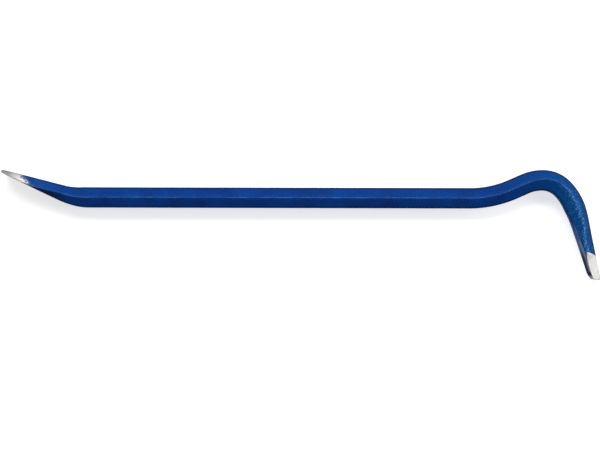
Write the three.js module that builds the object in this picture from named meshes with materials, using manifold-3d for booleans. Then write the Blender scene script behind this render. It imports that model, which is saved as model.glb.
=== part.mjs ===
// Gooseneck wrecking bar, forged in one piece from hexagonal steel bar.
//
// One path runs through the middle of the bar, from the chisel's edge to the claw's tips. The bar lies
// on its side: X runs along the shaft towards the claw, Y points away from the claw's tips, Z is up.
// A section of six corners is carried along the path: two on the outer flat, two on the side ridges and
// two on the inner flat. On the shaft they are a regular hexagon. Towards each end the section gets
// thinner and wider, and the ridges sink to the inner flat, which becomes the blade's broad face.
// The forging has no joints and no loose pieces, so each mesh is one named length of the same bar.

import * as THREE from 'three';
import { mergeVertices } from 'three/addons/utils/BufferGeometryUtils.js';
import Module from 'manifold-3d';

const wasm = await Module();
wasm.setup();

// Driving dimensions, in millimetres and degrees.
const OVERALL_LENGTH = 600;
const ACROSS_FLATS = 20.6;
const BLADE_WIDTH = 29;

// Chisel end: a straight wedge that turns up from the shaft.
const CHISEL_ANGLE = 20;
const CHISEL_STRAIGHT = 63;
const CHISEL_BEND_RADIUS = 77;
const CHISEL_TAPER = 86;
const CHISEL_EDGE_THICKNESS = 3;
const CHISEL_OUTER_WIDTH = 23;
const CHISEL_INNER_WIDTH = 28.4;
const CHISEL_GROUND_LENGTH = 22;
// Distances from the edge: where the blade reaches its full width, and where the ridges sink.
const CHISEL_FULL_WIDTH_AT = 20;
const CHISEL_RIDGE_SINKS = { begins: 66, ends: 26 };
const CHISEL_RIDGE_SUNK_SHARE = 0.92;

// Neck and heel: the shaft rises, rolls over the heel and comes down as the claw's leg.
const NECK_ANGLE = 24;
const NECK_RADIUS = 105;
const NECK_STRAIGHT = 13;
const HEEL_BENDS = [
  { radius: 44, turn: 24 },
  { radius: 28, turn: 45 },
  { radius: 50, turn: 17 },
];
const HEEL_RIDGE_SHIFT = 1.8;
const HEEL_RIDGE_RUN_IN = 35;

// Claw: the leg bends a little further, runs straight to the tips and is split by the nail slot.
const LEG_BEND = { radius: 100, turn: 13 };
const LEG_STRAIGHT = 61;
const CLAW_TAPER = 76;
const CLAW_TAPER_POWER = 1.35;
const CLAW_TIP_THICKNESS = 9.5;
const CLAW_OUTER_WIDTH = 20.4;
const CLAW_INNER_WIDTH = 21;
// Distances from the tips: where the claw reaches its full width, and where the ridges sink.
const CLAW_FULL_WIDTH_AT = 14;
const CLAW_RIDGE_SINKS = { begins: 58, ends: 36 };
const CLAW_RIDGE_SHIFT = -2.2;
const RIDGE_ABOVE_INNER_FACE = 1.2;
const TIP_ROUND_LENGTH = 10;
const TIP_ROUND_DEPTH = 6.5;
const SLOT_LENGTH = 28;
const SLOT_MOUTH_WIDTH = 10;
const SLOT_ROOT_WIDTH = 3;

// How long the facets along the bar are, where it bends or tapers and at the tips.
const BEND_STEP = 3;
const TIP_STEP = 2;

// The hexagon of the bar as rolled.
const HALF_FLATS = ACROSS_FLATS / 2;
const HEX_RIDGE = HALF_FLATS / Math.cos(Math.PI / 6);
const HEX_FLAT = HEX_RIDGE / 2;

const { degToRad, lerp, smoothstep } = THREE.MathUtils;

// Colour, roughness and metalness of the two finishes.
const bluePaint = () => new THREE.MeshStandardMaterial({
  color: new THREE.Color(0.01, 0.07, 0.3),
  roughness: 0.38,
  metalness: 0,
});
const groundSteel = () => new THREE.MeshStandardMaterial({
  color: new THREE.Color(0.66, 0.65, 0.62),
  roughness: 0.34,
  metalness: 1,
});

// The path is a chain of legs. A leg has a length and turns evenly by an angle, left being positive.
const straight = (length) => ({ length, turn: 0 });
const bend = (radius, degrees) => ({
  length: radius * degToRad(Math.abs(degrees)),
  turn: degToRad(degrees),
});
const lengthOf = (legs) => legs.reduce((sum, leg) => sum + leg.length, 0);

const chiselLegs = [straight(CHISEL_STRAIGHT), bend(CHISEL_BEND_RADIUS, CHISEL_ANGLE)];
const neckLegs = [bend(NECK_RADIUS, NECK_ANGLE), straight(NECK_STRAIGHT)];
const heelLegs = HEEL_BENDS.map(({ radius, turn }) => bend(radius, -turn));
const clawLegs = [bend(LEG_BEND.radius, -LEG_BEND.turn), straight(LEG_STRAIGHT)];

// Where the path is after a distance, and which way it then runs.
function walk(legs, distance) {
  const spot = { x: 0, y: 0, heading: degToRad(-CHISEL_ANGLE) };
  let left = distance;
  for (const leg of legs) {
    const part = Math.min(left, leg.length);
    const turned = leg.turn * part / leg.length;
    const half = turned / 2;
    const chord = turned === 0 ? part : part * Math.sin(half) / half;
    spot.x += chord * Math.cos(spot.heading + half);
    spot.y += chord * Math.sin(spot.heading + half);
    spot.heading += turned;
    left -= part;
    if (left <= 0) break;
  }
  return spot;
}

// The shaft takes whatever length the two ends leave of the overall length.
const endLegs = [...chiselLegs, ...neckLegs, ...heelLegs, ...clawLegs];
const clawTipReach = CLAW_TIP_THICKNESS / 2 * Math.sin(-walk(endLegs, lengthOf(endLegs)).heading);
const chiselTipReach = CHISEL_EDGE_THICKNESS / 2 * Math.sin(degToRad(CHISEL_ANGLE));
const endsLength = walk(endLegs, lengthOf(endLegs)).x + clawTipReach + chiselTipReach;
const shaftLegs = [straight(OVERALL_LENGTH - endsLength)];

const path = [...chiselLegs, ...shaftLegs, ...neckLegs, ...heelLegs, ...clawLegs];
const pathLength = lengthOf(path);
const shaftStart = lengthOf(chiselLegs);
const neckStart = shaftStart + lengthOf(shaftLegs);
const heelStart = neckStart + lengthOf(neckLegs);
const legStart = heelStart + lengthOf(heelLegs);
const slotStart = pathLength - SLOT_LENGTH;

// A section: heights along the path's left-hand normal, and half widths along Z.
const hexSection = (ridgeHeight) => ({
  outer: [HALF_FLATS, HEX_FLAT],
  ridge: [ridgeHeight, HEX_RIDGE],
  inner: [-HALF_FLATS, HEX_FLAT],
});

// How far a value has gone from the shaft (0) to the end (1), between two distances from the end.
const progress = (fromEnd, begins, ends) => 1 - smoothstep(fromEnd, ends, begins);

function chiselSection(fromEdge) {
  const half = lerp(CHISEL_EDGE_THICKNESS, ACROSS_FLATS, fromEdge / CHISEL_TAPER) / 2;
  const widened = progress(fromEdge, CHISEL_TAPER, CHISEL_FULL_WIDTH_AT);
  const sunk = progress(fromEdge, CHISEL_RIDGE_SINKS.begins, CHISEL_RIDGE_SINKS.ends);
  return {
    outer: [half, lerp(HEX_FLAT, CHISEL_OUTER_WIDTH / 2, widened)],
    ridge: [lerp(0, -CHISEL_RIDGE_SUNK_SHARE * half, sunk), lerp(HEX_RIDGE, BLADE_WIDTH / 2, widened)],
    inner: [-half, lerp(HEX_FLAT, CHISEL_INNER_WIDTH / 2, widened)],
  };
}

// The claw's tips are rounded off on the inner side, along a quarter of an ellipse.
function tipRound(fromTip) {
  const into = Math.max(0, 1 - fromTip / TIP_ROUND_LENGTH);
  return TIP_ROUND_DEPTH * (1 - Math.sqrt(1 - into * into));
}

function clawSection(fromTip) {
  const grown = Math.pow(fromTip / CLAW_TAPER, CLAW_TAPER_POWER);
  const half = lerp(CLAW_TIP_THICKNESS, ACROSS_FLATS, grown) / 2;
  const widened = progress(fromTip, CLAW_TAPER, CLAW_FULL_WIDTH_AT);
  const sunk = progress(fromTip, CLAW_RIDGE_SINKS.begins, CLAW_RIDGE_SINKS.ends);
  const inner = -half + tipRound(fromTip);
  const ridge = Math.max(lerp(HEEL_RIDGE_SHIFT, CLAW_RIDGE_SHIFT, sunk), inner + RIDGE_ABOVE_INNER_FACE);
  return {
    outer: [half, lerp(HEX_FLAT, CLAW_OUTER_WIDTH / 2, widened)],
    ridge: [ridge, lerp(HEX_RIDGE, BLADE_WIDTH / 2, widened)],
    inner: [inner, lerp(HEX_FLAT, CLAW_INNER_WIDTH / 2, widened)],
  };
}

// On the heel the metal is squeezed on the inside of the bend, which pushes the ridges outwards.
function sectionAt(distance) {
  if (distance < CHISEL_TAPER) return chiselSection(distance);
  if (distance > pathLength - CLAW_TAPER) return clawSection(pathLength - distance);
  return hexSection(HEEL_RIDGE_SHIFT * smoothstep(distance, heelStart, heelStart + HEEL_RIDGE_RUN_IN));
}

function ringAt(distance) {
  const spot = walk(path, distance);
  const { outer, ridge, inner } = sectionAt(distance);
  const corner = ([height, width], side) => new THREE.Vector3(
    spot.x - height * Math.sin(spot.heading),
    spot.y + height * Math.cos(spot.heading),
    width * side,
  );
  return [
    corner(outer, 1),
    corner(ridge, 1),
    corner(inner, 1),
    corner(inner, -1),
    corner(ridge, -1),
    corner(outer, -1),
  ];
}

// A closed skin over a row of rings, with a fan over each end.
function skin(rings) {
  const corners = rings[0].length;
  const last = (rings.length - 1) * corners;
  const index = [];
  for (let ring = 0; ring < rings.length - 1; ring += 1) {
    for (let corner = 0; corner < corners; corner += 1) {
      const a = ring * corners + corner;
      const b = ring * corners + (corner + 1) % corners;
      index.push(a, b, a + corners, b, b + corners, a + corners);
    }
  }
  for (let corner = 1; corner < corners - 1; corner += 1) {
    index.push(0, corner + 1, corner);
    index.push(last, last + corner, last + corner + 1);
  }
  const geometry = new THREE.BufferGeometry();
  geometry.setFromPoints(rings.flat());
  geometry.setIndex(index);
  geometry.computeVertexNormals();
  return geometry;
}

// One length of the bar between two distances along the path.
function barLength(from, to, step) {
  const steps = Math.max(1, Math.round((to - from) / step));
  const rings = [];
  for (let i = 0; i <= steps; i += 1) {
    rings.push(ringAt(lerp(from, to, i / steps)));
  }
  return skin(rings);
}

// Corners closer than this are one corner.
const SAME_POINT = 1e-4;

function solid(geometry) {
  const bare = geometry.clone();
  bare.deleteAttribute('normal');
  bare.deleteAttribute('uv');
  const merged = mergeVertices(bare, SAME_POINT);
  return new wasm.Manifold(new wasm.Mesh({
    numProp: 3,
    vertProperties: new Float32Array(merged.attributes.position.array),
    triVerts: new Uint32Array(merged.index.array),
  }));
}

function geometryOf(manifold) {
  const mesh = manifold.getMesh();
  const geometry = new THREE.BufferGeometry();
  geometry.setAttribute('position', new THREE.BufferAttribute(mesh.vertProperties, 3));
  geometry.setIndex(new THREE.BufferAttribute(mesh.triVerts, 1));
  geometry.computeVertexNormals();
  return geometry;
}

// The block that takes the nail slot and the far prong away, and leaves the prong on one side.
// The slot's side runs straight from the root to the mouth, and the block goes a little past both.
const SLOT_BLOCK_PAST = 2;

function slotBlock(side) {
  const past = SLOT_BLOCK_PAST;
  const clear = BLADE_WIDTH;
  const slope = (SLOT_MOUTH_WIDTH - SLOT_ROOT_WIDTH) / 2 / SLOT_LENGTH;
  const shape = new THREE.Shape([
    new THREE.Vector2(-clear * side, -past),
    new THREE.Vector2((SLOT_MOUTH_WIDTH / 2 + slope * past) * side, -past),
    new THREE.Vector2((SLOT_ROOT_WIDTH / 2 - slope * past) * side, SLOT_LENGTH + past),
    new THREE.Vector2(-clear * side, SLOT_LENGTH + past),
  ]);
  const block = new THREE.ExtrudeGeometry(shape, { depth: 2 * ACROSS_FLATS, bevelEnabled: false });
  block.translate(0, 0, -ACROSS_FLATS);
  const tip = walk(path, pathLength);
  const across = new THREE.Vector3(0, 0, 1);
  const back = new THREE.Vector3(-Math.cos(tip.heading), -Math.sin(tip.heading), 0);
  const inward = new THREE.Vector3().crossVectors(across, back);
  const place = new THREE.Matrix4().makeBasis(across, back, inward).setPosition(tip.x, tip.y, 0);
  return solid(block.applyMatrix4(place));
}

function clawProng(side) {
  const whole = solid(barLength(slotStart, pathLength, TIP_STEP));
  return geometryOf(whole.subtract(slotBlock(side)));
}

function part(name, geometry, material) {
  const mesh = new THREE.Mesh(geometry, material);
  mesh.name = name;
  return mesh;
}

const bar = new THREE.Group();
bar.add(part('chisel_edge', barLength(0, CHISEL_GROUND_LENGTH, BEND_STEP), groundSteel()));
bar.add(part('chisel_blade', barLength(CHISEL_GROUND_LENGTH, shaftStart, BEND_STEP), bluePaint()));
bar.add(part('shaft', barLength(shaftStart, neckStart, neckStart - shaftStart), bluePaint()));
bar.add(part('neck', barLength(neckStart, heelStart, BEND_STEP), bluePaint()));
bar.add(part('heel', barLength(heelStart, legStart, BEND_STEP), bluePaint()));
bar.add(part('claw_leg', barLength(legStart, slotStart, BEND_STEP), bluePaint()));
bar.add(part('claw_prong_upper', clawProng(1), groundSteel()));
bar.add(part('claw_prong_lower', clawProng(-1), groundSteel()));

// The origin is the middle of the underside of the bounding box, with the bar lying on its side.
const box = new THREE.Box3().setFromObject(bar);
const middle = box.getCenter(new THREE.Vector3());
bar.position.set(-middle.x, -middle.y, -box.min.z);

const group = new THREE.Group();
group.add(bar);
export default group;
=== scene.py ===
from math import cos, pi, radians, sin, sqrt

import bmesh
import bpy
from mathutils import Matrix, Vector


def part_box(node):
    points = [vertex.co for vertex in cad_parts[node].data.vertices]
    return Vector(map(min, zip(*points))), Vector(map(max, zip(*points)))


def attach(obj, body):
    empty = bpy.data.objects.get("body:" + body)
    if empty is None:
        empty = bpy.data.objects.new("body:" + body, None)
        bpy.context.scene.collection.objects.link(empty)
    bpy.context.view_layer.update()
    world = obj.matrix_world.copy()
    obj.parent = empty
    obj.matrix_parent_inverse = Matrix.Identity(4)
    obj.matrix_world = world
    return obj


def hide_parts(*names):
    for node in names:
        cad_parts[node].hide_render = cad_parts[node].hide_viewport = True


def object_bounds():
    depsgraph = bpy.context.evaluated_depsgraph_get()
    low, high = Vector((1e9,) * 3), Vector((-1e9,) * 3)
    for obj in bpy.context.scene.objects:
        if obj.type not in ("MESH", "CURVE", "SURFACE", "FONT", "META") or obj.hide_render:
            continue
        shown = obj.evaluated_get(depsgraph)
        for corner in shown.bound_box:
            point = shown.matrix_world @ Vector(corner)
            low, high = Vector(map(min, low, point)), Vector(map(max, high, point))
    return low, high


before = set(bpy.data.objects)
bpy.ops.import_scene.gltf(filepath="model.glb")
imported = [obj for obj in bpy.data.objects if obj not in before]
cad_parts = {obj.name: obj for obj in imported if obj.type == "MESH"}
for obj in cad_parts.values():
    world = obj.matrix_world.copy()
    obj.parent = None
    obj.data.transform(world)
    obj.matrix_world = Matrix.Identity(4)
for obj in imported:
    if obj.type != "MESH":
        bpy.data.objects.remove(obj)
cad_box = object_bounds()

# ---------------------------------------------------------------------------------------------------
# The view: a camera nearly straight above the bar, which lies on its side on a pale floor. It stands
# a little to the right of the bar's middle, and the bar fills nearly the whole width of the view.
CAMERA_HEIGHT = 1.7
BAR_SHARE_OF_VIEW = 0.9955

camera_spot = Vector((0.06, -0.01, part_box("shaft")[0][2] + CAMERA_HEIGHT))
camera_aim = Vector((0.0004, -0.0007, 0.0145))
camera_roll = radians(-0.18)
view_width = (cad_box[1][0] - cad_box[0][0]) / BAR_SHARE_OF_VIEW
half_view = view_width / 2 / (camera_spot - camera_aim).length

camera_data = bpy.data.cameras.new("camera")
camera_data.sensor_width = 36
camera_data.lens = camera_data.sensor_width / 2 / half_view
camera_data.clip_end = 20
camera = bpy.data.objects.new("camera", camera_data)
bpy.context.collection.objects.link(camera)
look = (camera_aim - camera_spot).normalized()
side = look.cross(Vector((sin(camera_roll), cos(camera_roll), 0))).normalized()
above = side.cross(look)
turned = Matrix((side, above, -look)).transposed().to_4x4()
camera.matrix_world = Matrix.Translation(camera_spot) @ turned
bpy.context.scene.camera = camera

# ---------------------------------------------------------------------------------------------------
# The bar: one forging of hexagonal steel. The rod is drawn out at both ends while it is straight,
# one end to a chisel and the other to a claw, and then bent in a jig.
HALF_FLATS = 0.0103
RIDGE = HALF_FLATS / cos(pi / 6)
ROUNDING = 0.0009
RING_SPACING_CHISEL = 0.003
RING_SPACING_SHAFT = 0.008
RING_SPACING_BENT = 0.0022

# The way through the middle of the bar: (length, turn in degrees) for each stretch, left is positive.
CHISEL_WAY = [(0.063, 0), (0.077 * radians(20), 20)]
NECK_WAY = [(0.105 * radians(24), 24), (0.013, 0)]
HEEL_WAY = [(0.044 * radians(24), -24), (0.028 * radians(45), -45), (0.050 * radians(17), -17)]
LEG_WAY = [(0.100 * radians(13), -13), (0.061, 0)]

shaft_low, shaft_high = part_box("shaft")
mid_y = (shaft_low[1] + shaft_high[1]) / 2
mid_z = (shaft_low[2] + shaft_high[2]) / 2
shaft_length = shaft_high[0] - shaft_low[0]


def way_length(way):
    return sum(length for length, turn in way)


chisel_length = way_length(CHISEL_WAY)
neck_from = chisel_length + shaft_length
heel_from = neck_from + way_length(NECK_WAY)
leg_from = heel_from + way_length(HEEL_WAY)
bar_length = leg_from + way_length(LEG_WAY)


def deselect_all():
    if bpy.context.object and bpy.context.object.mode == "EDIT":
        bpy.ops.object.mode_set(mode="OBJECT")
    bpy.ops.object.select_all(action="DESELECT")


def pick(obj, test, kind="verts"):
    """Selects the vertices, edges or faces that pass the test, and nothing else."""
    mesh = bmesh.from_edit_mesh(obj.data)
    for part in (mesh.verts, mesh.edges, mesh.faces):
        for item in part:
            item.select = False
    for item in getattr(mesh, kind):
        if test(item):
            item.select_set(True)
    bmesh.update_edit_mesh(obj.data)


def runs_lengthwise(edge):
    return abs(edge.verts[0].co.x - edge.verts[1].co.x) > 1e-6


deselect_all()
bpy.ops.mesh.primitive_cylinder_add(
    vertices=6, radius=RIDGE, depth=chisel_length,
    location=(chisel_length / 2, 0, mid_z), rotation=(pi / 2, 0, pi / 2))
bar = bpy.context.object
bar.name = "forged_bar"
bpy.ops.object.transform_apply(location=True, rotation=True, scale=True)
bpy.ops.object.mode_set(mode="EDIT")
bpy.ops.mesh.select_mode(type="FACE")

# The rod is extruded on from the chisel's stretch, one stretch after the other.
reached = chisel_length
for stretch in (shaft_length, way_length(NECK_WAY), way_length(HEEL_WAY), way_length(LEG_WAY)):
    pick(bar, lambda face: face.normal.x > 0.9 and face.calc_center_median().x > reached - 1e-5, "faces")
    bpy.ops.mesh.extrude_region_move(TRANSFORM_OT_translate={"value": (stretch, 0, 0)})
    reached += stretch

# Its long edges are cut into short ones, so that the rings can be drawn down and bent.
stretches = [
    (0, chisel_length, RING_SPACING_CHISEL),
    (chisel_length, neck_from, RING_SPACING_SHAFT),
    (neck_from, heel_from, RING_SPACING_BENT),
    (heel_from, leg_from, RING_SPACING_BENT),
    (leg_from, bar_length, RING_SPACING_BENT),
]
for start, end, spacing in stretches:
    pick(bar, lambda edge: (
        runs_lengthwise(edge) and start < (edge.verts[0].co.x + edge.verts[1].co.x) / 2 < end), "edges")
    bpy.ops.mesh.subdivide(number_cuts=round((end - start) / spacing) - 1)

# The rolled hexagon's six corners are rounded.
pick(bar, runs_lengthwise, "edges")
bpy.ops.mesh.bevel(offset=ROUNDING, segments=3, affect="EDGES")


def remember_places(obj, name):
    """Keeps where each vertex is now as an attribute, for the materials to read once it has moved."""
    kept = obj.data.attributes.new(name, "FLOAT_VECTOR", "POINT")
    for vertex in obj.data.vertices:
        kept.data[vertex.index].vector = vertex.co - Vector((0, 0, mid_z))


bpy.ops.object.mode_set(mode="OBJECT")
remember_places(bar, "rolled")
bpy.ops.object.mode_set(mode="EDIT")

# ---------------------------------------------------------------------------------------------------
# The chisel: the bar's end is hammered to a wedge that gets thinner and wider towards its edge.
# Its broad face is on the inner side, and its narrow face and two slanted sides are above it.
CHISEL_TAPER = 0.086
EDGE_THICKNESS = 0.003
BLADE_HALF_WIDTH = 0.0144
CHISEL_TOP_HALF_WIDTH = 0.0115

# Distances from the edge: where the blade is at its full width, and where its ridges are sunk and begin
# to sink. The last is how far down they sink, as a share of half the blade's thickness.
CHISEL_FULL_WIDTH_AT = 0.020
CHISEL_RIDGE_SUNK_AT = 0.026
CHISEL_RIDGE_SINKS_FROM = 0.066
CHISEL_RIDGE_SUNK_SHARE = 0.72

# The broad face is a little narrower on each side than the blade. Over the last stretch of the bar the
# corners' rounding gets smaller, down to this share of it.
BROAD_FACE_STEP = 0.0003
SHARPENED_LENGTH = 0.06
CHISEL_ROUNDING_SHARE = 0.2

# The places of the three corners on each side of the hexagon: (height, half width).
HEXAGON = {
    "outer": (HALF_FLATS, RIDGE / 2),
    "ridge": (0, RIDGE),
    "inner": (-HALF_FLATS, RIDGE / 2),
}


def mix(a, b, share):
    return a + (b - a) * share


def eased(distance, begins, ends):
    """From 0 at begins to 1 at ends, with a slow start and finish."""
    share = min(1, max(0, (distance - begins) / (ends - begins)))
    return share * share * (3 - 2 * share)


def draw_down(x, corners, rounding_share):
    """Moves the six rounded corners of the ring at x to new places, and makes their rounding smaller."""
    mesh = bmesh.from_edit_mesh(bar.data)
    ring = [vertex for vertex in mesh.verts if abs(vertex.co.x - x) < 1e-5]
    groups = {}
    for vertex in ring:
        height = vertex.co.y
        kind = "ridge" if abs(height) < HALF_FLATS / 2 else "outer" if height > 0 else "inner"
        groups.setdefault((kind, 1 if vertex.co.z > mid_z else -1), []).append(vertex)
    for (kind, way), group in groups.items():
        bpy.ops.mesh.select_all(action="DESELECT")
        for vertex in group:
            vertex.select_set(True)
        old_height, old_width = HEXAGON[kind]
        height, width = corners[kind]
        bpy.ops.transform.translate(value=(0, height - old_height, (width - old_width) * way))
        bpy.ops.transform.resize(
            value=(1, rounding_share, rounding_share), center_override=(x, height, mid_z + width * way))


def ring_places(low, high):
    """Where the bar's rings are along it, each once."""
    mesh = bmesh.from_edit_mesh(bar.data)
    places = []
    for x in sorted(vertex.co.x for vertex in mesh.verts if low - 1e-5 <= vertex.co.x <= high + 1e-5):
        if not places or x - places[-1] > 1e-4:
            places.append(x)
    return places


bpy.ops.mesh.select_mode(type="VERT")

for x in ring_places(0, CHISEL_TAPER):
    half = mix(EDGE_THICKNESS, 2 * HALF_FLATS, x / CHISEL_TAPER) / 2
    widened = 1 - eased(x, CHISEL_FULL_WIDTH_AT, CHISEL_TAPER)
    sunk = 1 - eased(x, CHISEL_RIDGE_SUNK_AT, CHISEL_RIDGE_SINKS_FROM)
    draw_down(x, {
        "outer": (half, mix(RIDGE / 2, CHISEL_TOP_HALF_WIDTH, widened)),
        "ridge": (mix(0, -CHISEL_RIDGE_SUNK_SHARE * half, sunk), mix(RIDGE, BLADE_HALF_WIDTH, widened)),
        "inner": (-half, mix(RIDGE / 2, BLADE_HALF_WIDTH - BROAD_FACE_STEP, widened)),
    }, mix(CHISEL_ROUNDING_SHARE, 1, min(1, x / SHARPENED_LENGTH)))

# ---------------------------------------------------------------------------------------------------
# The claw: the other end is drawn down too, with its broad face on the inside of the hook.
# Its tips are rounded on that side, its sides are ground on a wheel, and the nail slot is cut.
CLAW_TAPER = 0.076
CLAW_TAPER_POWER = 1.35
CLAW_TIP_THICKNESS = 0.0095
CLAW_OUTER_HALF_WIDTH = 0.0102
TIP_ROUND_LENGTH = 0.010
TIP_ROUND_DEPTH = 0.0065
CLAW_HALF_WIDTH = 0.0141
CLAW_ROUNDING_SHARE = 0.3

# Distances from the tips: where the claw is at its full width, and where its ridges are sunk and begin
# to sink.
CLAW_FULL_WIDTH_AT = 0.014
CLAW_RIDGE_SUNK_AT = 0.036
CLAW_RIDGE_SINKS_FROM = 0.058

# On the heel the metal is squeezed on the inside of the bend, which pushes the ridges outwards. On the
# claw they sink to the broad face, as on the chisel.
HEEL_RIDGE_SHIFT = 0.0018
HEEL_RIDGE_RUN_IN = 0.035
CLAW_RIDGE_SHIFT = -0.0022
CLAW_INNER_HALF_WIDTH = 0.0105
RIDGE_ABOVE_BROAD_FACE = 0.0012


def heel_ridge(x):
    return HEEL_RIDGE_SHIFT * eased(x, heel_from, heel_from + HEEL_RIDGE_RUN_IN)


for x in ring_places(heel_from, bar_length - CLAW_TAPER):
    draw_down(x, HEXAGON | {"ridge": (heel_ridge(x), RIDGE)}, 1)

for x in ring_places(bar_length - CLAW_TAPER, bar_length):
    from_tip = bar_length - x
    half = mix(CLAW_TIP_THICKNESS, 2 * HALF_FLATS, max(0, from_tip / CLAW_TAPER) ** CLAW_TAPER_POWER) / 2
    widened = 1 - eased(from_tip, CLAW_FULL_WIDTH_AT, CLAW_TAPER)
    sunk = 1 - eased(from_tip, CLAW_RIDGE_SUNK_AT, CLAW_RIDGE_SINKS_FROM)
    into_round = max(0, 1 - from_tip / TIP_ROUND_LENGTH)
    broad_face = -half + TIP_ROUND_DEPTH * (1 - sqrt(max(0, 1 - into_round ** 2)))
    ridge = max(mix(heel_ridge(x), CLAW_RIDGE_SHIFT, sunk), broad_face + RIDGE_ABOVE_BROAD_FACE)
    draw_down(x, {
        "outer": (half, mix(RIDGE / 2, CLAW_OUTER_HALF_WIDTH, widened)),
        "ridge": (ridge, mix(RIDGE, CLAW_HALF_WIDTH, widened)),
        "inner": (broad_face, mix(RIDGE / 2, CLAW_INNER_HALF_WIDTH, widened)),
    }, mix(CLAW_ROUNDING_SHARE, 1, min(1, from_tip / SHARPENED_LENGTH)))
bpy.ops.object.mode_set(mode="OBJECT")

# The hammered skin isn't quite even, so its surface sinks a little here and there.
UNEVENNESS = 0.00018
hammering = bpy.data.textures.new("hammering", "CLOUDS")
hammering.noise_scale = 0.016
hammering.noise_depth = 2
uneven = bar.modifiers.new("uneven skin", "DISPLACE")
uneven.texture = hammering
uneven.texture_coords = "LOCAL"
uneven.strength = UNEVENNESS
uneven.mid_level = 1
bpy.ops.object.modifier_apply(modifier=uneven.name)


def cut_away(cutter, name):
    """Takes the cutter's shape out of the bar, and throws the cutter away."""
    cut = bar.modifiers.new(name, "BOOLEAN")
    cut.operation = "DIFFERENCE"
    cut.solver = "EXACT"
    cut.object = cutter
    deselect_all()
    bpy.context.view_layer.objects.active = bar
    bpy.ops.object.modifier_apply(modifier=cut.name)
    bpy.data.objects.remove(cutter)


# A side of the claw is ground by a wheel that sinks in and then runs to the tip. The cutter is the
# wheel's cylinder, with its half towards the tip drawn out past it. The place is how high up and how
# far from the middle of the claw the wheel comes.
WHEEL_RADIUS = 0.030
WHEEL_WIDTH = 0.08
WHEEL_RUN_OUT = 0.05
GRIND_FROM_TIP = 0.0212
GRIND_PLACE = (0, 0.0115)
GRIND_TILT = radians(15)

for way in (1, -1):
    deselect_all()
    height, width = GRIND_PLACE
    centre = Vector((
        bar_length - GRIND_FROM_TIP,
        height + WHEEL_RADIUS * sin(GRIND_TILT),
        mid_z + (width + WHEEL_RADIUS * cos(GRIND_TILT)) * way))
    bpy.ops.mesh.primitive_cylinder_add(
        vertices=180, radius=WHEEL_RADIUS, depth=WHEEL_WIDTH, location=centre,
        rotation=(pi / 2 - GRIND_TILT * way, 0, 0))
    wheel = bpy.context.object
    bpy.ops.object.transform_apply(location=True, rotation=True, scale=True)
    bpy.ops.object.mode_set(mode="EDIT")
    pick(wheel, lambda vertex: vertex.co.x > centre.x + 1e-4)
    bpy.ops.transform.translate(value=(WHEEL_RUN_OUT, 0, 0))
    bpy.ops.object.mode_set(mode="OBJECT")
    cut_away(wheel, "ground side")

# The nail slot is a wedge with a round root.
SLOT_LENGTH = 0.028
SLOT_ROOT_RADIUS = 0.0015
SLOT_MOUTH_HALF_WIDTH = 0.005
SLOT_PAST_TIP = 0.006
SLOT_CUTTER_HEIGHT = 0.04

root_x = bar_length - SLOT_LENGTH + SLOT_ROOT_RADIUS
slot_run = SLOT_LENGTH - SLOT_ROOT_RADIUS
widening = (SLOT_MOUTH_HALF_WIDTH - SLOT_ROOT_RADIUS) / slot_run
deselect_all()
bpy.ops.mesh.primitive_cylinder_add(
    vertices=48, radius=SLOT_ROOT_RADIUS, depth=SLOT_CUTTER_HEIGHT,
    location=(root_x, 0, mid_z), rotation=(pi / 2, 0, 0))
slot_cutter = bpy.context.object
bpy.ops.object.transform_apply(location=True, rotation=True, scale=True)
bpy.ops.object.mode_set(mode="EDIT")
pick(slot_cutter, lambda vertex: vertex.co.x > root_x + 1e-4)
bpy.ops.transform.translate(value=(slot_run + SLOT_PAST_TIP, 0, 0))
flare = 1 + widening * (slot_run + SLOT_PAST_TIP) / SLOT_ROOT_RADIUS
bpy.ops.transform.resize(value=(1, 1, flare), center_override=(bar_length, 0, mid_z))
bpy.ops.object.mode_set(mode="OBJECT")
cut_away(slot_cutter, "nail slot")

remember_places(bar, "forged")

# The two ground ends are pieces of their own, each a little longer than its bare steel.
CHISEL_TIP_LENGTH = 0.034
CLAW_TIP_LENGTH = 0.036


def split_off(name, cut_x, way):
    """Cuts the bar square across at cut_x, closes both cuts and returns the end that lies that way."""
    deselect_all()
    bpy.context.view_layer.objects.active = bar
    bar.select_set(True)
    bpy.ops.object.mode_set(mode="EDIT")
    bpy.ops.mesh.select_all(action="SELECT")
    bpy.ops.mesh.bisect(plane_co=(cut_x, 0, 0), plane_no=(1, 0, 0))
    pick(bar, lambda face: (face.calc_center_median().x - cut_x) * way > 0, "faces")
    bpy.ops.mesh.separate(type="SELECTED")
    bpy.ops.object.mode_set(mode="OBJECT")
    end = next(obj for obj in bpy.context.selected_objects if obj != bar)
    end.name = name
    for obj in (bar, end):
        deselect_all()
        bpy.context.view_layer.objects.active = obj
        obj.select_set(True)
        bpy.ops.object.mode_set(mode="EDIT")
        bpy.ops.mesh.select_mode(type="EDGE")
        pick(obj, lambda edge: edge.is_boundary, "edges")
        bpy.ops.mesh.edge_face_add()
        bpy.ops.object.mode_set(mode="OBJECT")
    return end


chisel_tip = split_off("chisel_tip", CHISEL_TIP_LENGTH, -1)
claw_tip = split_off("claw_tip", bar_length - CLAW_TIP_LENGTH, 1)

# ---------------------------------------------------------------------------------------------------
# The bends: the straight forging is bent in the jig. The curve below is the way through its middle,
# laid where the frame has the shaft.
CHISEL_HEADING = radians(-20)
WAY_STEP = 0.001
FACET_ANGLE = radians(28)


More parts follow.
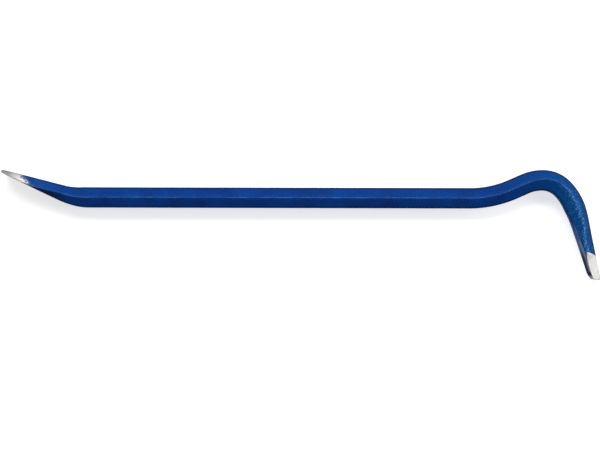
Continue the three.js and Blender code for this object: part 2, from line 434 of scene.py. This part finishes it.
def walk(way, distance):
    """The place after a distance along a way that starts at nought and runs along X."""
    x = y = heading = 0
    for length, turn in way:
        part = min(distance, length)
        half_turn = radians(turn) * part / length / 2
        chord = part * (sin(half_turn) / half_turn if half_turn else 1)
        x += chord * cos(heading + half_turn)
        y += chord * sin(heading + half_turn)
        heading += 2 * half_turn
        distance -= part
        if distance <= 0:
            break
    return Vector((x, y, 0))


whole_way = CHISEL_WAY + [(shaft_length, 0)] + NECK_WAY + HEEL_WAY + LEG_WAY
turned_to_chisel = Matrix.Rotation(CHISEL_HEADING, 3, "Z")
way_start = Vector((shaft_low[0], mid_y, 0)) - turned_to_chisel @ walk(whole_way, chisel_length)

way_steps = round(bar_length / WAY_STEP)
jig_curve = bpy.data.curves.new("jig", "CURVE")
jig_curve.dimensions = "2D"
spline = jig_curve.splines.new("POLY")
spline.points.add(way_steps)
for index, point in enumerate(spline.points):
    place = way_start + turned_to_chisel @ walk(whole_way, bar_length * index / way_steps)
    point.co = (place.x, place.y, 0, 1)
jig = bpy.data.objects.new("jig", jig_curve)
bpy.context.collection.objects.link(jig)

for piece in (bar, chisel_tip, claw_tip):
    deselect_all()
    bpy.context.view_layer.objects.active = piece
    piece.select_set(True)
    bent = piece.modifiers.new("bent in the jig", "CURVE")
    bent.object = jig
    bent.deform_axis = "POS_X"
    bpy.ops.object.modifier_apply(modifier=bent.name)
    bpy.ops.object.shade_smooth_by_angle(angle=FACET_ANGLE)
    flats = piece.modifiers.new("flats stay flat", "WEIGHTED_NORMAL")
    flats.keep_sharp = True
    bpy.ops.object.modifier_apply(modifier=flats.name)
bpy.data.objects.remove(jig)

# ---------------------------------------------------------------------------------------------------
# The painted bar: all of the forging between its ground ends, sprayed with deep blue enamel over the
# hammered and rolled skin. The film is rubbed on the ridges, where a painted highlight and painted
# glints also lie, and painted shade darkens the bar's edges and the chisel's inner side.
PAINT = (0.0012, 0.039, 0.235, 1)
PAINT_DEEP = (0.0020, 0.026, 0.170, 1)
PAINT_TEAL = (0.0016, 0.060, 0.225, 1)
# A paler blue: enamel rubbed on the ridges, and a painted highlight along them.
PAINT_RUBBED_AND_HIGHLIGHT = (0.045, 0.165, 0.44, 1)
# Paler still: nicked enamel, and painted glints on its speckled gloss.
PAINT_NICKED_AND_GLINT = (0.085, 0.26, 0.54, 1)
# A pale grey: scuffs and haze, and a painted sheen along the claw's broad face.
PAINT_HAZE_AND_SHEEN = (0.17, 0.20, 0.27, 1)
# Painted shade along the bar's edges.
PAINT_EDGE_SHADE = (0.0008, 0.016, 0.058, 1)
# Near-black painted shade.
PAINT_DARK_SHADE = (0.0015, 0.006, 0.022, 1)
# How strongly that painted shade along the edges is laid on.
EDGE_SHADE_SHARE = 0.8
ENAMEL_ROUGHNESS = (0.30, 0.46)
DULL_ROUGHNESS = 0.8
# The roughness where that near-black painted shade lies.
DARK_SHADE_ROUGHNESS = 0.9
ENAMEL_RIPPLE = 0.00012
GLOSS = 0.22
GLOSS_TINT = (0.15, 0.42, 1.0, 1)
EDGE_LINE_HEIGHT = 0.0012
CHISEL_FRONT_SLANT = 1.8

# Where marks begin and end as they fade in or out, in metres back from the chisel's edge or the claw's
# tips.
CHISEL_SHADE_FADES = (0.045, 0.085)
SCUFFS_FADE = (0.0240, 0.0345)
EDGE_LINE_STARTS = (0.008, 0.012)
EDGE_LINE_FADES = (0.050, 0.072)


class Finish:
    """A material's node tree, with a short way to add each kind of node."""

    def __init__(self, name):
        self.material = bpy.data.materials.new(name)
        self.material.use_nodes = True
        self.nodes = self.material.node_tree.nodes
        self.link = self.material.node_tree.links.new
        self.shader = self.nodes["Principled BSDF"]

    def put(self, socket, value):
        if isinstance(value, bpy.types.NodeSocket):
            self.link(value, socket)
        else:
            socket.default_value = value

    def add(self, kind, inputs=(), **settings):
        node = self.nodes.new(kind)
        for name, value in settings.items():
            setattr(node, name, value)
        for key, value in dict(inputs).items():
            self.put(node.inputs[key], value)
        return node

    def maths(self, operation, *values):
        return self.add("ShaderNodeMath", dict(enumerate(values)), operation=operation).outputs[0]

    def plus(self, first, second):
        return self.maths("ADD", first, second)

    def minus(self, first, second):
        return self.maths("SUBTRACT", first, second)

    def unsigned(self, value):
        return self.maths("ABSOLUTE", value)

    def times(self, *values):
        product = values[0]
        for value in values[1:]:
            product = self.maths("MULTIPLY", product, value)
        return product

    def most(self, *values):
        largest = values[0]
        for value in values[1:]:
            largest = self.maths("MAXIMUM", largest, value)
        return largest

    def rise(self, value, between, to=(0.0, 1.0), eased_ends=True):
        """Goes from the first of to, where the value is at the low end, to the second at the high end."""
        inputs = {
            "Value": value, "From Min": between[0], "From Max": between[1], "To Min": to[0], "To Max": to[1]}
        kind = "SMOOTHSTEP" if eased_ends else "LINEAR"
        return self.add("ShaderNodeMapRange", inputs, interpolation_type=kind).outputs["Result"]

    def fall(self, value, between, share=1.0, rest=0.0):
        """The share, where the value is at the low end, which fades to the rest at the high end."""
        return self.rise(value, between, (share, rest))

    def blend(self, share, first, second):
        """From the first colour, where the share is 0, to the second, where it is 1."""
        # The mix node has its colours at inputs 6 and 7, and its numbers at 2 and 3.
        inputs = {0: share, 6: first, 7: second}
        return self.add("ShaderNodeMix", inputs, data_type="RGBA").outputs[2]

    def blend_number(self, share, first, second):
        """The same for two numbers."""
        inputs = {0: share, 2: first, 3: second}
        return self.add("ShaderNodeMix", inputs, data_type="FLOAT").outputs[0]

    def noise(self, scale, detail, where=None):
        """Uneven lumps, of which the scale says how many there are to a metre."""
        where = where or self.add("ShaderNodeTexCoord").outputs["Object"]
        inputs = {"Vector": where, "Scale": scale, "Detail": detail}
        return self.add("ShaderNodeTexNoise", inputs).outputs["Fac"]

    def patches(self, scale, detail, between, to=(0.0, 1.0)):
        """Soft uneven patches, which cover more or less of the surface as between is lower or higher."""
        return self.rise(self.noise(scale, detail), between, to)

    def ragged(self, scale, to):
        """How far a line strays from its place, in metres."""
        return self.patches(scale, 4, (0.25, 0.75), to)

    def kept_place(self, name):
        """The place on the rolled or the forged bar: X along it, Y towards the outer face, Z across."""
        kept = self.add("ShaderNodeAttribute", attribute_name=name).outputs["Vector"]
        return self.add("ShaderNodeSeparateXYZ", {"Vector": kept}).outputs

    def wear(self, piece, colour, roughness, height):
        """Joins the finished colour, roughness and height to the shader, and gives it to the piece."""
        self.put(self.shader.inputs["Base Color"], colour)
        self.put(self.shader.inputs["Roughness"], roughness)
        bump = self.add("ShaderNodeBump", {"Height": height, "Strength": 1.0, "Distance": 1.0})
        self.put(self.shader.inputs["Normal"], bump.outputs["Normal"])
        self.shader.inputs["Specular IOR Level"].default_value = GLOSS
        self.shader.inputs["Specular Tint"].default_value = GLOSS_TINT
        piece.data.materials.clear()
        piece.data.materials.append(self.material)


# Half widths round the bar, as angles: of the rubbed line with its painted highlight on a ridge, of the
# band of nicked spots and painted glints along it, and of the band of painted shade at a corner. The
# middle of each is marked in full.
RUBBED_AND_HIGHLIGHT_LINE = 0.055
NICKED_AND_GLINT_BAND = 0.36
EDGE_SHADE_BAND = 0.26
FULL_MIDDLE = 0.2


def on_ridges(finish, half_width):
    """1 on the bar's six rounded corners and 0 on its flats, from the angle round the rolled bar."""
    rolled = finish.kept_place("rolled")
    angle = finish.maths("ARCTAN2", rolled["Y"], rolled["Z"])
    off_corner = finish.maths("PINGPONG", angle, pi / 6)
    return finish.fall(off_corner, (FULL_MIDDLE * half_width, half_width))


def shaded_edges(finish):
    """Painted shade along the corners of the flats that face sideways, and on the leg's back."""
    height = finish.kept_place("rolled")["Y"]
    along = finish.kept_place("forged")["X"]
    at_flats = finish.rise(finish.unsigned(height), (0.0055, 0.0075))
    corners = finish.times(on_ridges(finish, EDGE_SHADE_BAND), at_flats)
    leg = finish.rise(along, (heel_from + 0.01, leg_from + 0.03))
    back = finish.rise(height, (0.0030, 0.0095))
    return finish.times(finish.most(corners, finish.times(leg, back)), EDGE_SHADE_SHARE)


def ridge_wear_and_highlights(finish):
    """A rubbed line with a painted highlight, and a band of nicked spots and painted glints, along the
    two ridges that face up and down.
    """
    off_ridge = finish.unsigned(finish.kept_place("rolled")["Y"])
    middle = finish.fall(off_ridge, (0.0045, 0.0060))
    line = finish.times(on_ridges(finish, RUBBED_AND_HIGHLIGHT_LINE), middle)
    band = finish.times(on_ridges(finish, NICKED_AND_GLINT_BAND), middle)
    return line, band


def dull_flats(finish):
    """The flats that face sideways were sprayed at a slant and are dull."""
    off_ridge = finish.unsigned(finish.kept_place("rolled")["Y"])
    return finish.rise(off_ridge, (HALF_FLATS - 0.0008, HALF_FLATS - 0.0003))


def shaded_chisel_inner_side(finish):
    """Painted shade on the chisel's inner side, below the ridge, fading towards the shaft."""
    along = finish.kept_place("forged")["X"]
    below_ridge = finish.times(finish.kept_place("rolled")["Y"], -1)
    return finish.times(
        finish.fall(along, CHISEL_SHADE_FADES, 0.85), finish.rise(below_ridge, (0.0012, 0.0024)))


def chisel_front(finish):
    """How far back from the chisel's edge a place is, by a ragged line that slants across the blade."""
    forged = finish.kept_place("forged")
    slanted = finish.plus(forged["X"], finish.times(forged["Y"], CHISEL_FRONT_SLANT))
    return finish.plus(slanted, finish.ragged(260, (-0.0025, 0.0025)))


def scuffed_chisel(finish):
    """The enamel behind the chisel's ground end is scuffed pale."""
    scuffs = finish.patches(330, 3, (0.38, 0.62), (0.25, 0.75))
    return finish.times(finish.fall(chisel_front(finish), SCUFFS_FADE), scuffs)


def from_claw_tip(finish):
    """How far back from the claw's tips a place is."""
    return finish.minus(bar_length, finish.kept_place("forged")["X"])


def claw_outer_top(finish):
    """The height of the narrow outer face above the way, as the claw was drawn down to it."""
    share = finish.times(finish.most(from_claw_tip(finish), 0.0), 1 / CLAW_TAPER)
    grown = finish.maths("POWER", share, CLAW_TAPER_POWER)
    return finish.rise(grown, (0, 1), (CLAW_TIP_THICKNESS / 2, HALF_FLATS), eased_ends=False)


def above_broad_face(finish):
    """How far a place is above the claw's broad face, which lies as far below the way as the top above."""
    return finish.plus(finish.kept_place("forged")["Y"], claw_outer_top(finish))


def rubbed_edge_and_sheen(finish):
    """The two edges of the claw's broad face are rubbed pale here and there, and carry a painted sheen."""
    off_middle = finish.unsigned(finish.kept_place("forged")["Z"])
    from_tip = from_claw_tip(finish)
    off_line = finish.unsigned(finish.minus(above_broad_face(finish), EDGE_LINE_HEIGHT))
    return finish.times(
        finish.fall(off_line, (EDGE_LINE_HEIGHT / 2, EDGE_LINE_HEIGHT), 0.9),
        finish.patches(70, 3, (0.36, 0.56), (0.35, 1.0)),
        finish.rise(off_middle, (0.0070, 0.0080)),
        finish.rise(from_tip, EDGE_LINE_STARTS),
        finish.fall(from_tip, EDGE_LINE_FADES))


def enamel(finish, line, band, dark_shade, haze_and_sheen, edge_shade, dull):
    """Colour, roughness and height of the enamel, rubbed with a painted highlight along a line and
    nicked with painted glints over a band.

    The other four say, each from 0 to 1, how much near-black painted shade it has, how much pale haze
    and painted sheen, how much painted shade along its edges, and how dull it is.
    """
    along = finish.kept_place("forged")["X"]
    towards_claw = finish.rise(along, (neck_from + 0.01, bar_length - 0.07), (0.0, 0.75))
    speckled = finish.rise(along, (heel_from + 0.02, bar_length - 0.075), (0.10, 1.0))
    # Rubbed streaks along the ridge, which also stand for a painted highlight there.
    streaks = finish.times(line, finish.patches(90, 3, (0.35, 0.7), (0.25, 0.8)))
    # Nicked spots and painted glints over the band, and pale specks as painted glints everywhere, more of
    # them towards the claw.
    nicks_and_glints = finish.times(band, speckled, finish.patches(620, 3, (0.51, 0.60)))
    flecks = finish.times(speckled, finish.patches(1000, 2, (0.58, 0.68), (0.0, 0.5)))
    colour = finish.blend(finish.patches(38, 2, (0.3, 0.7)), PAINT, PAINT_DEEP)
    # In turn: a tealer tone towards the claw, painted shade along the edges, the rubbed line with its
    # painted highlight, nicked spots with painted glints, pale haze with a painted sheen, and near-black
    # painted shade.
    for share, over in (
        (towards_claw, PAINT_TEAL),
        (edge_shade, PAINT_EDGE_SHADE),
        (streaks, PAINT_RUBBED_AND_HIGHLIGHT),
        (finish.most(nicks_and_glints, flecks), PAINT_NICKED_AND_GLINT),
        (haze_and_sheen, PAINT_HAZE_AND_SHEEN),
        (dark_shade, PAINT_DARK_SHADE),
    ):
        colour = finish.blend(share, colour, over)
    roughness = finish.patches(210, 4, (0.3, 0.7), ENAMEL_ROUGHNESS)
    roughness = finish.blend_number(dull, roughness, DULL_ROUGHNESS)
    roughness = finish.blend_number(dark_shade, roughness, DARK_SHADE_ROUGHNESS)
    height = finish.times(finish.noise(150, 4), ENAMEL_RIPPLE)
    return colour, roughness, height


body_finish = Finish("blue enamel")
# These marks carry painted light: a highlight and glints on the ridges, a sheen on the claw's edges, and
# shade along the edges and on the chisel's inner side.
ridge_line_and_highlight, ridge_band_and_glints = ridge_wear_and_highlights(body_finish)
body_enamel = enamel(
    body_finish,
    ridge_line_and_highlight,
    ridge_band_and_glints,
    shaded_chisel_inner_side(body_finish),
    body_finish.most(scuffed_chisel(body_finish), rubbed_edge_and_sheen(body_finish)),
    shaded_edges(body_finish),
    dull_flats(body_finish))
body_finish.wear(bar, *body_enamel)
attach(bar, "root")
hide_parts("chisel_blade", "shaft", "neck", "heel", "claw_leg")

# ---------------------------------------------------------------------------------------------------
# The chisel's ground end: the same forging, with the enamel ground off to bare steel at the edge.
# The grinding marks run lengthwise, and the enamel behind them is scuffed.
STEEL_LENGTHWISE = (0.42, 0.410, 0.385, 1)
# A darker steel: dull grinding marks, and painted shade on the claw's tips.
STEEL_DULL_AND_SHADED = (0.30, 0.295, 0.285, 1)
STEEL_TANNED = (0.50, 0.42, 0.33, 1)
SCRATCH_STRETCH = (0.12, 1, 1)
SCRATCH_DEPTH = 0.00005
STEEL_ROUGHNESS = (0.36, 0.55)
ENAMEL_THICKNESS = 0.00008
BARE_CHISEL_FADES = (0.0215, 0.0235)
RUBBED_CHISEL_FADES = (0.024, 0.031)


def part_ground(piece, name, bare, dull, paint_marks, bright, tanned, streaked):
    """Enamel with bare steel where the bare share is 1, brightly ground where the dull share is 0.
    A dull share towards 1 darkens the steel; on the claw that is painted shade on the tips' rounded ends.

    bright is the ground steel's colour. tanned and streaked say how strongly it is stained by heat and
    how strongly the grinding marks show.
    """
    finish = Finish(name)
    bare_share = bare(finish)
    paint_colour, paint_roughness, paint_height = enamel(finish, *paint_marks(finish))
    kept = finish.add("ShaderNodeAttribute", attribute_name="forged").outputs["Vector"]
    drawn_out = finish.add("ShaderNodeMapping", {"Vector": kept, "Scale": SCRATCH_STRETCH}).outputs[0]
    scratches = finish.noise(1500, 4, drawn_out)
    stains = finish.patches(170, 3, (0.52, 0.70))
    steel = finish.blend(finish.times(stains, tanned), bright, STEEL_TANNED)
    steel = finish.blend(finish.rise(scratches, (0.35, 0.7), (0.0, streaked)), steel, STEEL_DULL_AND_SHADED)
    # Darker where the dull share is high: on the claw, painted shade on the tips' rounded ends.
    steel = finish.blend(dull(finish), steel, STEEL_DULL_AND_SHADED)
    steel_roughness = finish.rise(scratches, (0.3, 0.7), STEEL_ROUGHNESS)
    paint_height = finish.plus(paint_height, ENAMEL_THICKNESS)
    steel_height = finish.times(scratches, SCRATCH_DEPTH)
    finish.put(finish.shader.inputs["Metallic"], bare_share)
    finish.wear(
        piece,
        finish.blend(bare_share, paint_colour, steel),
        finish.blend_number(bare_share, paint_roughness, steel_roughness),
        finish.blend_number(bare_share, paint_height, steel_height))


def bare_chisel(finish):
    """The enamel's edge is slanted and ragged, with rubbed patches behind it."""
    front = chisel_front(finish)
    clean = finish.fall(front, BARE_CHISEL_FADES)
    rubbed = finish.patches(420, 3, (0.46, 0.60))
    reach = finish.fall(front, RUBBED_CHISEL_FADES, 0.8)
    off_broad_face = finish.rise(finish.kept_place("forged")["Y"], (-0.0028, -0.0018))
    return finish.most(clean, finish.times(rubbed, reach, off_broad_face))


def dull_chisel(finish):
    """The narrow strip along the top is less bright."""
    forged = finish.kept_place("forged")
    taper = (HALF_FLATS - EDGE_THICKNESS / 2) / CHISEL_TAPER
    top = finish.plus(finish.times(forged["X"], taper), EDGE_THICKNESS / 2)
    return finish.fall(finish.minus(top, forged["Y"]), (0.0008, 0.0016), 0.95, 0.45)


def chisel_paint_marks(finish):
    """The marks that the enamel takes, in its own order: the same as on the rest of the bar."""
    # The ridges' line and band carry a painted highlight and painted glints here too.
    line, band = ridge_wear_and_highlights(finish)
    # Painted shade on the chisel's inner side.
    dark_shade = shaded_chisel_inner_side(finish)
    return line, band, dark_shade, scuffed_chisel(finish), shaded_edges(finish), dull_flats(finish)


part_ground(
    chisel_tip, "ground chisel", bare_chisel, dull_chisel, chisel_paint_marks,
    bright=STEEL_LENGTHWISE, tanned=0.6, streaked=0.45)
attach(chisel_tip, "root")
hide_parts("chisel_edge")

# ---------------------------------------------------------------------------------------------------
# The claw's ground end: the tips of both prongs, with the nail slot between them. Their sides are
# ground crosswise to bright steel, and the broad face in the hook is painted near-black as shade.
STEEL_CROSSWISE = (0.68, 0.665, 0.640, 1)
BARE_FACE_FADES = (0.0235, 0.0243)
WORN_TIPS_FADE = (0.0045, 0.0075)
TIP_EDGE_SHADE_FADES = (0.009, 0.012)
HAZE_FADES = (0.0165, 0.0245)
CLAW_SHADE_FADES = (0.026, 0.0325)


def from_ragged_tip(finish):
    """The same as from_claw_tip, but uneven, so that what ends there has a ragged edge."""
    return finish.plus(from_claw_tip(finish), finish.ragged(300, (-0.0006, 0.0006)))


def claw_sides_ground(finish):
    """1 where the wheel has been: there the surface lies on the wheel, and elsewhere it is below it."""
    forged = finish.kept_place("forged")
    run_in = finish.most(finish.minus(from_claw_tip(finish), GRIND_FROM_TIP), 0.0)
    reach = finish.minus(WHEEL_RADIUS ** 2, finish.times(run_in, run_in))
    lift = finish.minus(WHEEL_RADIUS, finish.maths("SQRT", reach))
    height = finish.minus(forged["Y"], GRIND_PLACE[0])
    half_width = finish.minus(finish.unsigned(forged["Z"]), GRIND_PLACE[1])
    outward = finish.plus(
        finish.times(height, sin(GRIND_TILT)), finish.times(half_width, cos(GRIND_TILT)))
    return finish.rise(finish.minus(outward, lift), (-0.00014, -0.00004))


def bare_claw(finish):
    """The ground sides, the narrow outer face beside them, and the worn tips."""
    below_top = finish.minus(claw_outer_top(finish), finish.kept_place("forged")["Y"])
    from_tip = from_ragged_tip(finish)
    outer_face = finish.times(
        finish.fall(from_tip, BARE_FACE_FADES), finish.fall(below_top, (0.0004, 0.0007)))
    tips = finish.fall(from_tip, WORN_TIPS_FADE)
    return finish.most(claw_sides_ground(finish), outer_face, tips)


def shaded_claw_ends(finish):
    """Painted shade on the tips' rounded ends, and on the ground sides only at the very tip."""
    from_tip = from_ragged_tip(finish)
    ends = finish.fall(from_tip, (0.0015, 0.011), 1.0, 0.6)
    sides = finish.fall(from_tip, (0.0005, 0.003), 0.5)
    return finish.blend_number(claw_sides_ground(finish), ends, sides)


def shaded_claw_face(finish, front):
    """Near-black painted shade on the broad face, in the slot, and on the low edge near the tips."""
    forged = finish.kept_place("forged")
    broad_face = finish.fall(above_broad_face(finish), (0.0001, 0.0004))
    shaded_face = finish.times(broad_face, finish.fall(front, CLAW_SHADE_FADES))
    # Painted shade in the nail slot.
    slot_side = finish.rise(
        from_claw_tip(finish), (0, slot_run), (SLOT_MOUTH_HALF_WIDTH, SLOT_ROOT_RADIUS), eased_ends=False)
    off_slot = finish.minus(finish.unsigned(forged["Z"]), slot_side)
    in_slot = finish.times(
        finish.fall(off_slot, (0.0001, 0.0004), 0.8),
        finish.fall(from_claw_tip(finish), (SLOT_LENGTH + 0.0002, SLOT_LENGTH + 0.0010)))
    # Painted shade on the low edge near the tips.
    shaded_tip_edge = finish.times(
        finish.fall(forged["Y"], (-0.0030, -0.0024)), finish.fall(from_claw_tip(finish), TIP_EDGE_SHADE_FADES))
    return finish.most(shaded_face, in_slot, shaded_tip_edge)


def shaded_edges_on_claw(finish):
    """Painted shade along the edges here, as on the rest of the bar."""
    forged = finish.kept_place("forged")
    below_top = finish.minus(claw_outer_top(finish), forged["Y"])
    outer = finish.fall(below_top, (0.0007, 0.0063), EDGE_SHADE_SHARE)
    inner = finish.times(
        finish.fall(above_broad_face(finish), (0.0022, 0.0030), EDGE_SHADE_SHARE),
        finish.rise(finish.unsigned(forged["Z"]), (0.0062, 0.0072)))
    return finish.most(outer, inner)


def claw_paint_marks(finish):
    """The marks that the enamel takes, in its own order.

    No line is rubbed or painted as a highlight on the ridges, because the wheel has taken most of them off.
    """
    height = finish.kept_place("forged")["Y"]
    # The band of nicked spots and painted glints lies on the sunk ridge.
    band = finish.fall(finish.unsigned(finish.minus(height, CLAW_RIDGE_SHIFT)), (0.001, 0.004))
    front = finish.plus(from_claw_tip(finish), finish.ragged(220, (-0.003, 0.0)))
    # Haze near the ground end, and the claw's rubbed edges with their painted sheen.
    haze_and_sheen = finish.most(finish.fall(front, HAZE_FADES, 0.8), rubbed_edge_and_sheen(finish))
    off_face = finish.minus(claw_outer_top(finish), finish.unsigned(height))
    dull = finish.fall(off_face, (0.0002, 0.0005))
    return 0.0, band, shaded_claw_face(finish, front), haze_and_sheen, shaded_edges_on_claw(finish), dull


part_ground(
    claw_tip, "ground claw", bare_claw, shaded_claw_ends, claw_paint_marks,
    bright=STEEL_CROSSWISE, tanned=0.2, streaked=0.22)
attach(claw_tip, "root")
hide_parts("claw_prong_upper", "claw_prong_lower")

# ---------------------------------------------------------------------------------------------------
# The floor and the lights: a plain pale floor that glows a little, a broad soft lamp on the heel's
# side, and a low one past the claw.
FLOOR_DROP = 0.0002
FLOOR_GLOW = 0.64
KEY_POWER = 52
CLAW_POWER = 7.6
ROOM_LIGHT = 0.21

deselect_all()
bpy.ops.mesh.primitive_plane_add(size=6, location=(0, 0, -FLOOR_DROP))
floor = bpy.context.object
floor.name = "floor"
floor_finish = Finish("pale floor")
floor_look = {
    "Base Color": (0.8, 0.8, 0.8, 1),
    "Roughness": 0.9,
    "Specular IOR Level": 0.0,
    "Emission Color": (1, 1, 1, 1),
    "Emission Strength": FLOOR_GLOW,
}
for socket, value in floor_look.items():
    floor_finish.shader.inputs[socket].default_value = value
floor.data.materials.append(floor_finish.material)


def soft_lamp(name, spot, size, power):
    """A rectangular lamp that faces the bar's middle."""
    lamp_data = bpy.data.lights.new(name, "AREA")
    lamp_data.shape = "RECTANGLE"
    lamp_data.size, lamp_data.size_y = size
    lamp_data.energy = power
    lamp = bpy.data.objects.new(name, lamp_data)
    bpy.context.collection.objects.link(lamp)
    lamp.matrix_world = Matrix.Translation(spot) @ Vector(spot).to_track_quat("Z", "Y").to_matrix().to_4x4()


soft_lamp("key_lamp", (0.0, 1.5, 1.85), (2.6, 1.1), KEY_POWER)
soft_lamp("claw_lamp", (1.5, 0.25, 0.95), (0.9, 0.9), CLAW_POWER)

world = bpy.data.worlds.new("studio")
world.use_nodes = True
world.node_tree.nodes["Background"].inputs["Color"].default_value = (1, 1, 1, 1)
world.node_tree.nodes["Background"].inputs["Strength"].default_value = ROOM_LIGHT
bpy.context.scene.world = world
bpy.context.scene.view_settings.view_transform = "Standard"
